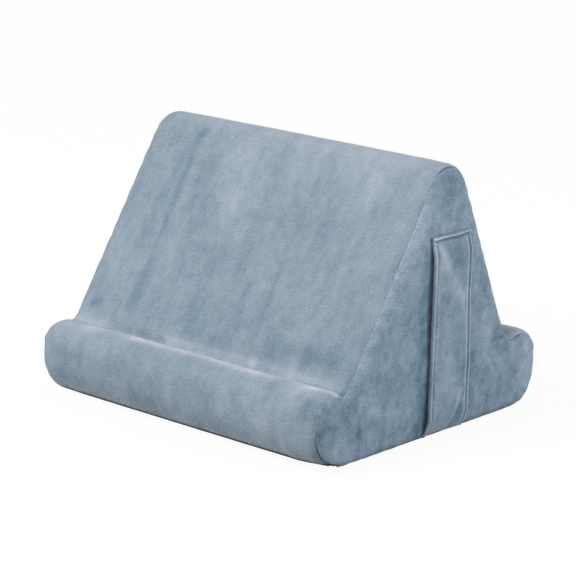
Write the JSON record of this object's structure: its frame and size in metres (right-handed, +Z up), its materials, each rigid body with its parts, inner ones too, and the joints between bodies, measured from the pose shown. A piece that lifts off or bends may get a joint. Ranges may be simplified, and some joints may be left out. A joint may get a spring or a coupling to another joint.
{
  "type": "tablet cushion stand",
  "caption": "Soft wedge-shaped tablet stand: foam core in a sewn velvet cover, with a padded front roll to seat the tablet, a rear ledge and a side carry strap.",
  "frame": {"origin": "centre of the base, on the surface that the stand rests on", "axes": "+X along the front roll towards the end with the carry strap, -Y the side that the tablet leans on, +Z up"},
  "size_m": [0.305, 0.2514, 0.2063],
  "materials": {
    "velvet": "short-pile velvet, dusty grey-blue, brushed nap",
    "base_cloth": "plain woven cloth, darker grey-blue",
    "foam": "cut soft foam, off-white, matt"
  },
  "bodies": {
    "root": {"foam_core": "foam", "cover_wrap": "velvet", "base_panel": "base_cloth", "end_panel_left": "velvet", "end_panel_right": "velvet", "carry_strap": "velvet"}
  },
  "joints": []
}
